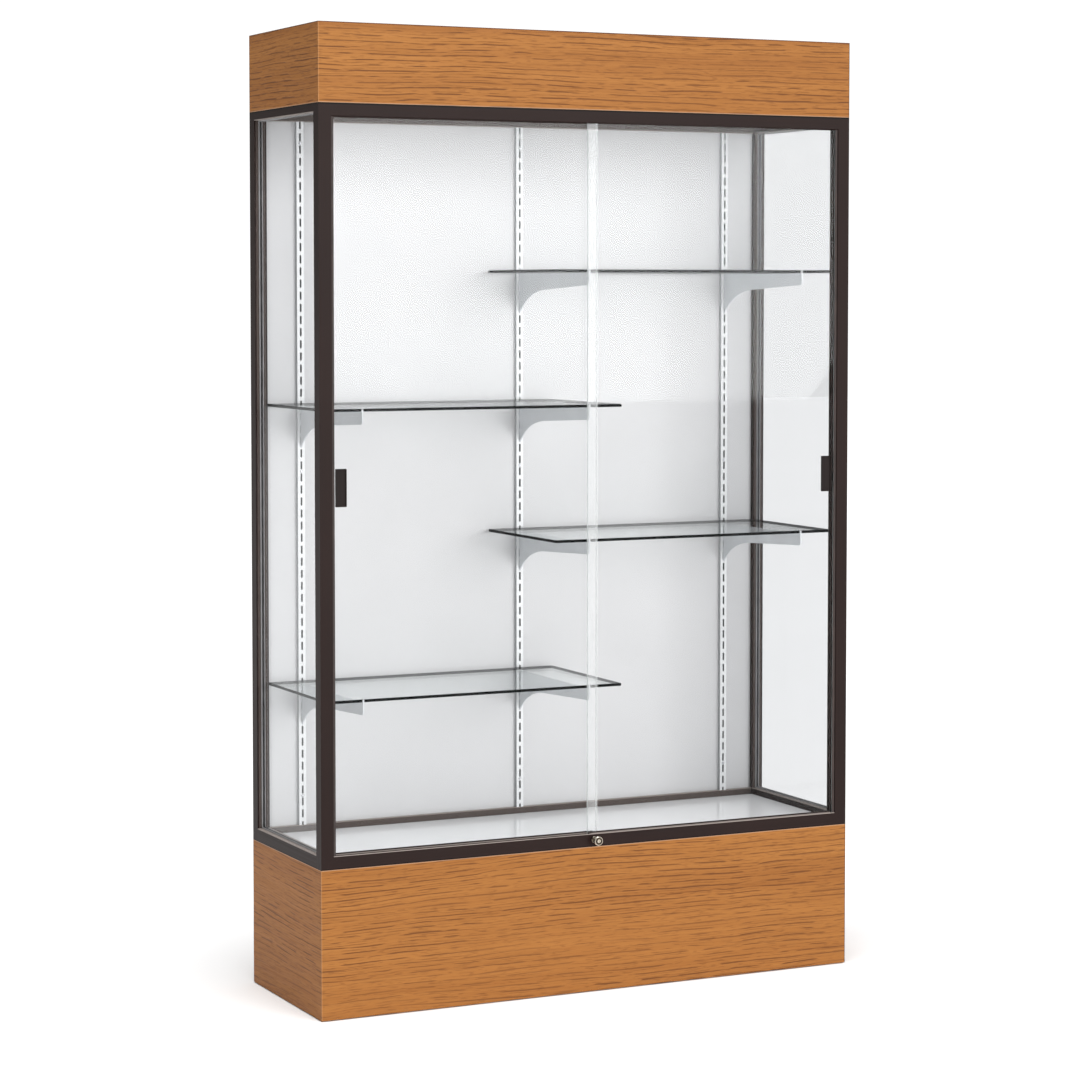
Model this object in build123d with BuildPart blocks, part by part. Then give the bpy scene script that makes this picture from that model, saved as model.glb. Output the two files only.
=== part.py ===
"""Floor-standing glass display case: oak base and header, metal tube frame, sliding glass doors, glass shelves.

Millimetres. X runs along the case's width, Y from front to back, Z up.
The origin is the middle of the case's footprint, at floor level.
"""

from build123d import *

import os

# ---------------------------------------------------------------- overall
CASE_W = 1219.2
CASE_D = 387.4
BASE_H = 304.8
FRAME_H = 1524.0
HEADER_H = 158.7
HX = CASE_W / 2
HY = CASE_D / 2
FRAME_Z0 = BASE_H
FRAME_Z1 = BASE_H + FRAME_H
CASE_H = FRAME_Z1 + HEADER_H

# ---------------------------------------------------------------- woodwork
WALL_T = 19.0
LID_T = 16.0
CEILING_T = 13.0
DECK_T = 13.0
FLOOR_GAP = 2.0
FIT_GAP = 0.3
BLOCK_SIDE = 48.0
BLOCK_Z0 = 20.0
BLOCK_H = 110.0

# ---------------------------------------------------------------- levellers
LEVELLER_X = HX - WALL_T - BLOCK_SIDE / 2
LEVELLER_Y = HY - WALL_T - BLOCK_SIDE / 2
PAD_R = 20.0
PAD_H = 6.0
STEM_R = 4.0
STEM_TOP = 60.0
STEM_CLEARANCE = 0.06
SPANNER_HEX = 14.0
INSERT_R = 6.0
INSERT_L = 25.0
INSERT_FLANGE_R = 10.0
INSERT_FLANGE_T = 2.0

# ---------------------------------------------------------------- frame extrusions
TUBE = 27.0
HALF = TUBE / 2
TOP_TUBE = 18.0
SKIN = 2.0
CHAMBER_LOW = 1.5
CHAMBER_TOP = 5.0
FLOOR_TOP = 7.0
GROOVE_W = 9.0
GROOVE_D = 8.0
LIP_BEVEL = 2.0
POST_X = HX - HALF
POST_Y = HY - HALF
INSIDE_X = HX - TUBE
INSIDE_Y = HY - TUBE
PLATE_T = 3.0
PLATE_W = 20.0
PLATE_REACH = 75.0
PLATE_LIFT = 0.2
NOTCH_W = 21.0
NOTCH_H = 6.0

# ---------------------------------------------------------------- frame screws
SCREW_INSET = 40.0
SCREW_R = 1.95
SCREW_HEAD_R = 4.0
SCREW_L = 27.0
SCREW_SINK = 2.0
SCREW_POINT_L = 3.0
CLEAR_R = 2.1
PILOT_R = 2.0
ACCESS_R = 4.6
MIDDLE_SCREW_X = 200.0

# ---------------------------------------------------------------- end glass and back
END_GLASS_T = 5.0
END_GLASS_BITE = 6.0
GASKET_SHOWS = 2.5
GASKET_SLACK = 0.2
BACK_T = 8.0
BACK_BITE = 6.0

# ---------------------------------------------------------------- sliding doors
DOOR_T = 5.0
LANE_FRONT = -185.2
LANE_REAR = -175.2
LANE_MID = (LANE_FRONT + LANE_REAR) / 2
DOOR_EDGE_X = 580.1
DOOR_LAP = 12.7
DOOR_Z0 = 325.8
DOOR_Z1 = 1815.0
TRACK_W = 22.0
TRACK_FIN = 2.0
LANE_GAP = 8.0
UPPER_TRACK_Z0 = 1803.0
UPPER_TRACK_BASE = 1.5
LOWER_TRACK_BASE = 1.2
RIB_H = 1.2
RIB_W = 1.6
JAMB_BASE = 1.5
JAMB_RIB = 4.0
SHOE_W = 7.6
SHOE_SKIN = 1.2
SHOE_TOP = 334.5
SHOE_INSET = 6.0
CARRIER_L = 20.0
CARRIER_Z0 = 315.0
CARRIER_INNER_X = 15.4
CARRIER_OUTER_X = 542.0
CARRIER_SLOT_L = 12.0
CARRIER_SLOT_W = 3.8
AXLE_R = 1.24
WHEEL_BORE_R = 1.30
WHEEL_W = 3.2
WHEEL_R = 4.9
WHEEL_GROOVE_R = 4.0
WHEEL_GROOVE_W = 2.0
WHEEL_LIFT = 0.05

# ---------------------------------------------------------------- door pulls
PULL_W = 23.5
PULL_H = 76.2
PULL_X = 558.75
PULL_PLATE = 1.2
PULL_DEPTH = 3.5
PULL_FLANGE = 1.6

# ---------------------------------------------------------------- plunger lock
LOCK_Z = 319.3
LOCK_FLANGE_R = 7.0
LOCK_FLANGE_T = 2.0
LOCK_SHANK_R = 5.3
LOCK_SHANK_END = -189.7
LOCK_HOLE_R = 5.4
LOCK_NUT_T = 1.8
LOCK_NUT_HEX = 12.2
PLUNGER_R = 4.5
PLUNGER_BORE_R = 4.55
PLUNGER_TIP = -189.3
LOCK_STROKE = 14.0
HEAD_R = 9.5
HEAD_T = 5.0
HEAD_WELL_R = 7.6
HEAD_WELL_D = 1.2
HEAD_BOSS_R = 4.6
PLUG_R = 3.60
PLUG_BORE_R = 3.65
PLUG_L = 10.0
PLUG_PROUD = 0.4
KEYWAY_W = 1.2
KEYWAY_H = 5.0
KEYWAY_D = 4.0

# ---------------------------------------------------------------- slotted standards
STANDARD_X = 508.0
STANDARD_W = 15.9
STANDARD_T = 1.6
SLOT_PITCH = 25.4
SLOT_L = 17.5
SLOT_W = 4.0
FIRST_SLOT = 24.3
WEB_HOLE_R = 1.75
WEB_SCREW_R = 1.7
WEB_SCREW_HEAD_R = 3.0
WEB_SCREW_HEAD_T = 1.4
WEB_SCREW_BITE = 6.0
STANDARD_Z0 = FRAME_Z0 + TUBE
STANDARD_Z1 = FRAME_Z1 - TOP_TUBE
BACK_FACE_Y = POST_Y - BACK_T / 2

# ---------------------------------------------------------------- shelves
SHELF_W = 660.4
SHELF_D = 330.2
SHELF_T = 6.0
SHELF_END_X = 584.0
SHELF_FRONT_Y = -166.4
SHELF_EDGE = 0.6
CUSHION_T = 0.8
CUSHION_L = 8.0
LEFT_LOWER_SLOT = 10
RIGHT_LOWER_SLOT = 22
LEFT_UPPER_SLOT = 33
RIGHT_UPPER_SLOT = 44

# ---------------------------------------------------------------- shelf brackets
BRACKET_T = 2.7
BRACKET_DROP = 22.3
BRACKET_ROOT_H = 87.0
BRACKET_KNEE = 110.0
BRACKET_KNEE_H = 36.0
BRACKET_NOSE_H = 25.0
BRACKET_NOSE_Y = -171.0
BRACKET_LIP_T = 4.0
BRACKET_LIP_H = 6.5
HOOK_REACH = 5.3
HOOK_WALL_GAP = 0.1
HOOK_SEAT = 0.55
HOOK_DROP = 4.0
HOOK_RISE = 5.0

os.makedirs("parts", exist_ok=True)


def save(part, name):
    """Label a finished piece and write it as its own STEP file."""
    part.label = name
    export_step(part, f"parts/{name}.step")


# ================================================================ woodwork walls
def wall_outline(side):
    """The plan of one mitred wall: outer edge, then inner edge."""
    ix, iy = HX - WALL_T, HY - WALL_T
    corners = {
        "front": [(-HX, -HY), (HX, -HY), (ix, -iy), (-ix, -iy)],
        "back": [(HX, HY), (-HX, HY), (-ix, iy), (ix, iy)],
        "left": [(-HX, HY), (-HX, -HY), (-ix, -iy), (-ix, iy)],
        "right": [(HX, -HY), (HX, HY), (ix, iy), (ix, -iy)],
    }
    return corners[side]


def screw_places(side):
    """Where the frame screws of one side stand, in plan."""
    end_x = INSIDE_X - SCREW_INSET
    end_y = INSIDE_Y - SCREW_INSET
    if side in ("front", "back"):
        y = -POST_Y if side == "front" else POST_Y
        return [(x, y) for x in (-end_x, -MIDDLE_SCREW_X, MIDDLE_SCREW_X, end_x)]
    x = -POST_X if side == "left" else POST_X
    return [(x, y) for y in (-end_y, end_y)]


SIDES = ("front", "back", "left", "right")
PILOT_L = SCREW_L - FLOOR_TOP + 1.0

for side in SIDES:
    with BuildPart() as base_wall:
        with BuildSketch(Plane.XY.offset(FLOOR_GAP)):
            Polygon(*wall_outline(side), align=None)
        extrude(amount=BASE_H - FLOOR_GAP)
        with Locations(*[(x, y, BASE_H - PILOT_L / 2) for x, y in screw_places(side)]):
            Cylinder(PILOT_R, PILOT_L, mode=Mode.SUBTRACT)
    save(base_wall.part, f"base_{side}_panel")

    with BuildPart() as header_wall:
        with BuildSketch(Plane.XY.offset(FRAME_Z1)):
            Polygon(*wall_outline(side), align=None)
        extrude(amount=HEADER_H)
        with Locations(*[(x, y, FRAME_Z1 + PILOT_L / 2) for x, y in screw_places(side)]):
            Cylinder(PILOT_R, PILOT_L, mode=Mode.SUBTRACT)
    save(header_wall.part, f"header_{side}_panel")


def inner_board(z0, thickness, gap_x, gap_y):
    """A flat board that fills the case's plan between two half sizes."""
    with BuildPart() as board:
        with BuildSketch(Plane.XY.offset(z0)):
            Rectangle(2 * gap_x, 2 * gap_y)
        extrude(amount=thickness)
    return board.part


save(inner_board(BASE_H - LID_T, LID_T, HX - WALL_T, HY - WALL_T), "base_top_panel")
save(inner_board(CASE_H - LID_T, LID_T, HX - WALL_T, HY - WALL_T), "header_top_panel")
save(inner_board(FRAME_Z1, CEILING_T, HX - WALL_T, HY - WALL_T), "ceiling_panel")
save(inner_board(BASE_H, DECK_T, INSIDE_X - FIT_GAP, INSIDE_Y - FIT_GAP), "deck_panel")

LEVELLER_SPOTS = [
    (sx * LEVELLER_X, sy * LEVELLER_Y) for sx in (-1, 1) for sy in (-1, 1)
]

with BuildPart() as corner_blocks:
    with BuildSketch(Plane.XY.offset(BLOCK_Z0)):
        with Locations(*LEVELLER_SPOTS):
            Rectangle(BLOCK_SIDE, BLOCK_SIDE)
            Circle(INSERT_R, mode=Mode.SUBTRACT)
    extrude(amount=BLOCK_H)
    with BuildSketch(Plane.XY.offset(FRAME_Z1 + CEILING_T)):
        with Locations(*LEVELLER_SPOTS):
            Rectangle(BLOCK_SIDE, BLOCK_SIDE)
    extrude(amount=HEADER_H - CEILING_T - LID_T)
save(corner_blocks.part, "corner_blocks")

# ================================================================ levellers
with BuildPart() as leveller_inserts:
    with BuildSketch(Plane.XY.offset(BLOCK_Z0 - INSERT_FLANGE_T)):
        with Locations(*LEVELLER_SPOTS):
            Circle(INSERT_FLANGE_R)
            Circle(STEM_R + STEM_CLEARANCE, mode=Mode.SUBTRACT)
    extrude(amount=INSERT_FLANGE_T)
    with BuildSketch(Plane.XY.offset(BLOCK_Z0)):
        with Locations(*LEVELLER_SPOTS):
            Circle(INSERT_R)
            Circle(STEM_R + STEM_CLEARANCE, mode=Mode.SUBTRACT)
    extrude(amount=INSERT_L)
save(leveller_inserts.part, "leveller_inserts")


def leveller(x, y):
    """A screw-in foot: round pad, spanner hex and plain stem."""
    with BuildPart() as foot:
        with BuildSketch(Plane.XY):
            with Locations((x, y)):
                Circle(PAD_R)
        extrude(amount=PAD_H)
        chamfer(foot.edges().group_by(Axis.Z)[-1], 2.0)
        with BuildSketch(Plane.XY.offset(PAD_H)):
            with Locations((x, y)):
                RegularPolygon(SPANNER_HEX / 2, 6, major_radius=False)
        extrude(amount=PAD_H)
        with BuildSketch(Plane.XY.offset(2 * PAD_H)):
            with Locations((x, y)):
                Circle(STEM_R)
        extrude(amount=STEM_TOP - 2 * PAD_H)
    return foot.part


for across, sx in (("left", -1), ("right", 1)):
    for along, sy in (("front", -1), ("back", 1)):
        save(leveller(sx * LEVELLER_X, sy * LEVELLER_Y), f"leveller_{along}_{across}")

# ================================================================ frame posts
CHAMBER = HALF - SKIN
GROOVE_FLOOR = HALF - GROOVE_D
POCKET_OUT = GROOVE_W / 2 + SKIN


def post(sx, sy):
    """One corner post, with a groove for the end glass and, at the back, one for the back panel."""
    cx, cy = sx * POST_X, sy * POST_Y

    def window(low_u, high_u, low_v, high_v):
        """A rectangle whose u and v run from the post's axis towards the inside of the case."""
        with Locations((cx - sx * (low_u + high_u) / 2, cy - sy * (low_v + high_v) / 2)):
            Rectangle(high_u - low_u, high_v - low_v, mode=Mode.SUBTRACT)

    with BuildPart() as tube:
        with BuildSketch(Plane.XY.offset(FRAME_Z0)):
            with Locations((cx, cy)):
                Rectangle(TUBE, TUBE)
            window(-CHAMBER, GROOVE_FLOOR - SKIN, -CHAMBER, GROOVE_FLOOR - SKIN)
            window(-GROOVE_W / 2, GROOVE_W / 2, GROOVE_FLOOR, HALF)
            window(-CHAMBER, -POCKET_OUT, GROOVE_FLOOR, CHAMBER)
            window(POCKET_OUT, CHAMBER, POCKET_OUT, CHAMBER)
            if sy > 0:
                window(GROOVE_FLOOR, HALF, -GROOVE_W / 2, GROOVE_W / 2)
                window(GROOVE_FLOOR, CHAMBER, -CHAMBER, -POCKET_OUT)
            else:
                window(GROOVE_FLOOR, CHAMBER, -CHAMBER, GROOVE_FLOOR - SKIN)
        extrude(amount=FRAME_H)
        # notches at both ends let the corner plates through
        notch = NOTCH_W / 2 + HALF
        offset_in = (HALF - NOTCH_W / 2) / 2
        for z in (FRAME_Z0 + NOTCH_H / 2, FRAME_Z1 - NOTCH_H / 2):
            with Locations((cx - sx * offset_in, cy, z)):
                Box(notch, NOTCH_W, NOTCH_H, mode=Mode.SUBTRACT)
            with Locations((cx, cy - sy * offset_in, z)):
                Box(NOTCH_W, notch, NOTCH_H, mode=Mode.SUBTRACT)
    return tube.part


for across, sx in (("left", -1), ("right", 1)):
    for along, sy in (("front", -1), ("back", 1)):
        save(post(sx, sy), f"post_{along}_{across}")


# ================================================================ frame rails
def rail_plane(side, top):
    """The plane of a rail's end section: its y runs from the outer face into the opening."""
    z = FRAME_Z1 if top else FRAME_Z0
    up = Vector(0, 0, -1 if top else 1)
    if side in ("front", "back"):
        start = Vector(-INSIDE_X, -POST_Y if side == "front" else POST_Y, z)
        along = Vector(1, 0, 0)
    else:
        start = Vector(-POST_X if side == "left" else POST_X, -INSIDE_Y, z)
        along = Vector(0, 1, 0)
    return Plane(origin=start, x_dir=up.cross(along), z_dir=along)


def hollow(low_u, high_u, low_v, high_v):
    """Cut a rectangle out of the section that is being drawn."""
    with Locations(((low_u + high_u) / 2, (low_v + high_v) / 2)):
        Rectangle(high_u - low_u, high_v - low_v, mode=Mode.SUBTRACT)


def rail(side, top):
    """One rail: a door channel at the front, a glass groove on the other sides."""
    length = 2 * INSIDE_X if side in ("front", "back") else 2 * INSIDE_Y
    direction = -1 if top else 1
    z = FRAME_Z1 if top else FRAME_Z0
    # the top rails at the sides and the back are lower than the front one, which hides the track
    tall = TOP_TUBE if top and side != "front" else TUBE
    groove_v = tall - GROOVE_D
    with BuildPart() as bar:
        with BuildSketch(rail_plane(side, top)):
            with Locations((0, tall / 2)):
                Rectangle(TUBE, tall)
            hollow(-CHAMBER, CHAMBER, CHAMBER_LOW, CHAMBER_TOP)
            if side == "front":
                hollow(-CHAMBER, CHAMBER, FLOOR_TOP, TUBE)
                front = HALF if top else -HALF
                lean = -LIP_BEVEL if top else LIP_BEVEL
                with BuildLine():
                    Polyline(
                        (front, TUBE), (front + lean, TUBE), (front, TUBE - LIP_BEVEL), close=True
                    )
                make_face(mode=Mode.SUBTRACT)
            else:
                if groove_v - SKIN - FLOOR_TOP > SKIN:
                    hollow(-CHAMBER, CHAMBER, FLOOR_TOP, groove_v - SKIN)
                hollow(-GROOVE_W / 2, GROOVE_W / 2, groove_v, tall)
                hollow(-CHAMBER, -POCKET_OUT, groove_v, tall - SKIN)
                hollow(POCKET_OUT, CHAMBER, groove_v, tall - SKIN)
        extrude(amount=length)
        for x, y in screw_places(side):
            with Locations((x, y, z + direction * CHAMBER_TOP / 2)):
                Cylinder(CLEAR_R, CHAMBER_TOP, mode=Mode.SUBTRACT)
            sink_z = z + direction * (FLOOR_TOP - SCREW_SINK / 2)
            tilt = (180, 0, 0) if top else (0, 0, 0)
            with Locations(Location((x, y, sink_z), tilt)):
                Cone(CLEAR_R, SCREW_HEAD_R + 0.05, SCREW_SINK, mode=Mode.SUBTRACT)
            if side != "front":
                with Locations((x, y, z + direction * (FLOOR_TOP + groove_v) / 2)):
                    Cylinder(ACCESS_R, groove_v - FLOOR_TOP, mode=Mode.SUBTRACT)
        if side == "front" and not top:
            with Locations(Location((0, -HY + SKIN / 2, LOCK_Z), (90, 0, 0))):
                Cylinder(LOCK_HOLE_R, SKIN, mode=Mode.SUBTRACT)
    return bar.part


for side in SIDES:
    save(rail(side, top=False), f"bottom_rail_{side}")
    save(rail(side, top=True), f"top_rail_{side}")

# ================================================================ corner plates
with BuildPart() as corner_plates:
    low = FRAME_Z0 + CHAMBER_LOW + PLATE_LIFT
    high = FRAME_Z1 - CHAMBER_LOW - PLATE_LIFT - PLATE_T
    for z in (low, high):
        for sx in (-1, 1):
            for sy in (-1, 1):
                near_x, near_y = sx * (POST_X + PLATE_W / 2), sy * (POST_Y + PLATE_W / 2)
                far_x, far_y = sx * (POST_X - PLATE_REACH), sy * (POST_Y - PLATE_REACH)
                mid_x, mid_y = sx * (POST_X - PLATE_W / 2), sy * (POST_Y - PLATE_W / 2)
                with BuildSketch(Plane.XY.offset(z)):
                    with BuildLine():
                        Polyline(
                            (near_x, near_y),
                            (far_x, near_y),
                            (far_x, mid_y),
                            (mid_x, mid_y),
                            (mid_x, far_y),
                            (near_x, far_y),
                            close=True,
                        )
                    make_face()
                    screw_spots = [
                        (sx * (INSIDE_X - SCREW_INSET), sy * POST_Y),
                        (sx * POST_X, sy * (INSIDE_Y - SCREW_INSET)),
                    ]
                    with Locations(*screw_spots):
                        Circle(CLEAR_R, mode=Mode.SUBTRACT)
                extrude(amount=PLATE_T)
save(corner_plates.part, "corner_plates")


# ================================================================ frame screws
def screw_plane(x, y, top):
    """The plane of one screw's profile, its y running from the head's far side to the point."""
    z = FRAME_Z1 - FLOOR_TOP if top else FRAME_Z0 + FLOOR_TOP
    return Plane(origin=(x, y, z), x_dir=(1, 0, 0), z_dir=(0, 1 if not top else -1, 0))


with BuildPart() as frame_screws:
    for top in (False, True):
        for side in SIDES:
            for x, y in screw_places(side):
                # half of a countersunk screw, drawn from its head down into the wood
                with BuildSketch(screw_plane(x, y, top)):
                    Polygon(
                        (0, 0),
                        (SCREW_HEAD_R, 0),
                        (SCREW_R, SCREW_SINK),
                        (SCREW_R, SCREW_L - SCREW_POINT_L),
                        (0, SCREW_L),
                        align=None,
                    )
                revolve(axis=Axis((x, y, 0), (0, 0, 1)))
save(frame_screws.part, "frame_screws")

# ================================================================ end glass, gaskets and back panel
GLASS_HALF_Y = INSIDE_Y + END_GLASS_BITE
GLASS_Z0 = FRAME_Z0 + TUBE - END_GLASS_BITE
GLASS_Z1 = FRAME_Z1 - TOP_TUBE + END_GLASS_BITE
GLASS_MID_Z = (GLASS_Z0 + GLASS_Z1) / 2

with BuildPart() as end_glass_panes:
    with Locations((-POST_X, 0, GLASS_MID_Z), (POST_X, 0, GLASS_MID_Z)):
        Box(END_GLASS_T, 2 * GLASS_HALF_Y, GLASS_Z1 - GLASS_Z0)
save(end_glass_panes.part, "end_glass_panes")

with BuildPart() as end_glass_gaskets:
    seat = GROOVE_D - GASKET_SLACK
    opening_h = FRAME_H - TUBE - TOP_TUBE
    with Locations((-POST_X, 0, GLASS_MID_Z), (POST_X, 0, GLASS_MID_Z)):
        Box(GROOVE_W - GASKET_SLACK, 2 * (INSIDE_Y + seat), opening_h + 2 * seat)
        Box(
            GROOVE_W,
            2 * (INSIDE_Y - GASKET_SHOWS),
            opening_h - 2 * GASKET_SHOWS,
            mode=Mode.SUBTRACT,
        )
        Box(END_GLASS_T, 2 * GLASS_HALF_Y, GLASS_Z1 - GLASS_Z0, mode=Mode.SUBTRACT)
save(end_glass_gaskets.part, "end_glass_gaskets")


# ================================================================ door tracks and jambs
TRACK_LENGTH = 2 * INSIDE_X - 2 * FIT_GAP
FIN_YS = [LANE_MID - LANE_GAP - TRACK_FIN, LANE_MID, LANE_MID + LANE_GAP + TRACK_FIN]

with BuildPart() as upper_door_track:
    roof = FRAME_Z1 - FLOOR_TOP
    with Locations((0, LANE_MID, roof - UPPER_TRACK_BASE / 2)):
        Box(TRACK_LENGTH, TRACK_W, UPPER_TRACK_BASE)
    fin_h = roof - UPPER_TRACK_BASE - UPPER_TRACK_Z0
    with Locations(*[(0, y, UPPER_TRACK_Z0 + fin_h / 2) for y in FIN_YS]):
        Box(TRACK_LENGTH, TRACK_FIN, fin_h)
save(upper_door_track.part, "upper_door_track")

LOWER_FLOOR = FRAME_Z0 + FLOOR_TOP
RIB_TOP = LOWER_FLOOR + LOWER_TRACK_BASE + RIB_H

with BuildPart() as lower_door_track:
    with Locations((0, LANE_MID, LOWER_FLOOR + LOWER_TRACK_BASE / 2)):
        Box(TRACK_LENGTH, TRACK_W, LOWER_TRACK_BASE)
    rib_z = LOWER_FLOOR + LOWER_TRACK_BASE + RIB_H / 2
    with Locations((0, LANE_FRONT, rib_z), (0, LANE_REAR, rib_z)):
        Box(TRACK_LENGTH, RIB_W, RIB_H)
save(lower_door_track.part, "lower_door_track")

with BuildPart() as door_jambs:
    jamb_z0 = FRAME_Z0 + TUBE
    for sx in (-1, 1):
        with BuildSketch(Plane.XY.offset(jamb_z0)):
            with Locations((sx * (INSIDE_X - JAMB_BASE / 2), LANE_MID)):
                Rectangle(JAMB_BASE, TRACK_W)
            with Locations(*[(sx * (INSIDE_X - JAMB_BASE - JAMB_RIB / 2), y) for y in FIN_YS]):
                Rectangle(JAMB_RIB, TRACK_FIN)
        extrude(amount=FRAME_H - 2 * TUBE)
save(door_jambs.part, "door_jambs")


# ================================================================ sliding doors
WHEEL_Z = RIB_TOP + WHEEL_GROOVE_R + WHEEL_LIFT


def build_door(name, sx, lane):
    """One sliding door on side sx: glass, roller shoe, pull. Returns nothing, writes its files."""
    outer_x, inner_x = sx * DOOR_EDGE_X, -sx * DOOR_LAP
    mid_x = (outer_x + inner_x) / 2
    width = abs(outer_x - inner_x)

    with BuildPart() as glass:
        with Locations((mid_x, lane, (DOOR_Z0 + DOOR_Z1) / 2)):
            Box(width, DOOR_T, DOOR_Z1 - DOOR_Z0)
    save(glass.part, f"{name}_glass")

    # the shoe is a channel along the glass's lower edge, with a roller carrier near each end
    shoe_bottom = DOOR_Z0 - SHOE_SKIN
    with BuildPart() as shoe:
        shoe_l = width - 2 * SHOE_INSET
        with Locations((mid_x, lane, (shoe_bottom + SHOE_TOP) / 2)):
            Box(shoe_l, SHOE_W, SHOE_TOP - shoe_bottom)
        with Locations((mid_x, lane, (DOOR_Z0 + SHOE_TOP) / 2)):
            Box(shoe_l, DOOR_T, SHOE_TOP - DOOR_Z0, mode=Mode.SUBTRACT)
    with BuildPart() as carriers:
        carrier_h = shoe_bottom - CARRIER_Z0
        spots = [(sx * CARRIER_INNER_X, lane), (sx * CARRIER_OUTER_X, lane)]
        with Locations(*[(x, y, CARRIER_Z0 + carrier_h / 2) for x, y in spots]):
            Box(CARRIER_L, SHOE_W, carrier_h)
        slot_h = carrier_h - 1.0
        with Locations(*[(x, y, CARRIER_Z0 + slot_h / 2) for x, y in spots]):
            Box(CARRIER_SLOT_L, CARRIER_SLOT_W, slot_h, mode=Mode.SUBTRACT)
        with Locations(*[Location((x, y, WHEEL_Z), (90, 0, 0)) for x, y in spots]):
            Cylinder(AXLE_R, SHOE_W, mode=Mode.SUBTRACT)
    with BuildPart() as axles:
        with Locations(*[Location((x, y, WHEEL_Z), (90, 0, 0)) for x, y in spots]):
            Cylinder(AXLE_R, SHOE_W)
    group = Compound(children=[*shoe.part.solids(), *carriers.part.solids(), *axles.part.solids()])
    save(group, f"{name}_roller_shoe")

    with BuildPart() as pull:
        face_y = lane - DOOR_T / 2
        pull_z = FRAME_Z0 + FRAME_H / 2
        with BuildSketch(Plane.XZ.offset(-face_y)):
            with Locations((sx * PULL_X, pull_z)):
                RectangleRounded(PULL_W, PULL_H, 1.5)
        extrude(amount=PULL_DEPTH)
        with Locations((sx * PULL_X, face_y - PULL_PLATE - (PULL_DEPTH - PULL_PLATE) / 2, pull_z)):
            Box(
                PULL_W - 2 * PULL_FLANGE,
                PULL_DEPTH - PULL_PLATE,
                PULL_H - 2 * PULL_FLANGE,
                mode=Mode.SUBTRACT,
            )
    save(pull.part, f"{name}_pull")


def door_wheel(x, lane):
    """A grooved wheel that rides on the lower track's rib."""
    with BuildPart() as wheel:
        with BuildSketch(Plane(origin=(x, lane, WHEEL_Z), x_dir=(0, 1, 0), z_dir=(1, 0, 0))):
            half_w, half_g = WHEEL_W / 2, WHEEL_GROOVE_W / 2
            with BuildLine():
                Polyline(
                    (-half_w, WHEEL_BORE_R),
                    (half_w, WHEEL_BORE_R),
                    (half_w, WHEEL_R),
                    (half_g, WHEEL_R),
                    (half_g, WHEEL_GROOVE_R),
                    (-half_g, WHEEL_GROOVE_R),
                    (-half_g, WHEEL_R),
                    (-half_w, WHEEL_R),
                    close=True,
                )
            make_face()
        revolve(axis=Axis((x, lane, WHEEL_Z), (0, 1, 0)))
    return wheel.part


for name, sx, lane in (("left_door", -1, LANE_REAR), ("right_door", 1, LANE_FRONT)):
    build_door(name, sx, lane)
    save(door_wheel(sx * CARRIER_INNER_X, lane), f"{name}_inner_wheel")
    save(door_wheel(sx * CARRIER_OUTER_X, lane), f"{name}_outer_wheel")

# ================================================================ plunger lock
FLANGE_FRONT = -HY - LOCK_FLANGE_T
HEAD_BACK = FLANGE_FRONT - LOCK_STROKE
HEAD_FRONT = HEAD_BACK - HEAD_T


def lock_cylinder(radius, y_low, y_high, mode=Mode.ADD):
    """A round bar on the lock's own axis."""
    with Locations(Location((0, (y_low + y_high) / 2, LOCK_Z), (90, 0, 0))):
        Cylinder(radius, y_high - y_low, mode=mode)


with BuildPart() as lock_housing:
    lock_cylinder(LOCK_FLANGE_R, FLANGE_FRONT, -HY)
    chamfer(lock_housing.edges().group_by(Axis.Y)[0], 0.6)
    lock_cylinder(LOCK_SHANK_R, -HY, LOCK_SHANK_END)
    lock_cylinder(PLUNGER_BORE_R, FLANGE_FRONT, LOCK_SHANK_END, Mode.SUBTRACT)
save(lock_housing.part, "lock_housing")

with BuildPart() as lock_nut:
    with BuildSketch(Plane.XZ.offset(HY - SKIN)):
        with Locations((0, LOCK_Z)):
            RegularPolygon(LOCK_NUT_HEX / 2, 6, major_radius=False)
            Circle(LOCK_SHANK_R, mode=Mode.SUBTRACT)
    extrude(amount=-LOCK_NUT_T)
save(lock_nut.part, "lock_nut")

# the plunger's head has a ring-shaped well around the key plug
with BuildPart() as lock_plunger:
    lock_cylinder(HEAD_R, HEAD_FRONT, HEAD_BACK)
    chamfer(lock_plunger.edges().group_by(Axis.Y)[0], 0.8)
    lock_cylinder(HEAD_WELL_R, HEAD_FRONT, HEAD_FRONT + HEAD_WELL_D, Mode.SUBTRACT)
    lock_cylinder(HEAD_BOSS_R, HEAD_FRONT + HEAD_WELL_D / 2, HEAD_FRONT + HEAD_WELL_D)
    lock_cylinder(PLUNGER_R, HEAD_BACK, PLUNGER_TIP)
    lock_cylinder(PLUG_BORE_R, HEAD_FRONT, HEAD_FRONT + PLUG_L, Mode.SUBTRACT)
save(lock_plunger.part, "lock_plunger")

with BuildPart() as lock_plug:
    plug_front = HEAD_FRONT - PLUG_PROUD
    lock_cylinder(PLUG_R, plug_front, HEAD_FRONT + PLUG_L)
    with Locations((0, plug_front + KEYWAY_D / 2, LOCK_Z)):
        Box(KEYWAY_W, KEYWAY_D, KEYWAY_H, mode=Mode.SUBTRACT)
save(lock_plug.part, "lock_plug")

# ================================================================ slotted standards
STANDARD_L = STANDARD_Z1 - STANDARD_Z0
SLOT_COUNT = int((STANDARD_L - FIRST_SLOT + SLOT_PITCH) // SLOT_PITCH)
SLOT_ZS = [STANDARD_Z0 + FIRST_SLOT + SLOT_PITCH * n for n in range(-1, SLOT_COUNT)]
SCREW_WEBS = (1, 28, 55)


def web_z(n):
    """The height of the solid web above slot n, where a screw goes."""
    return STANDARD_Z0 + FIRST_SLOT + SLOT_PITCH * (n + 0.5)


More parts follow.
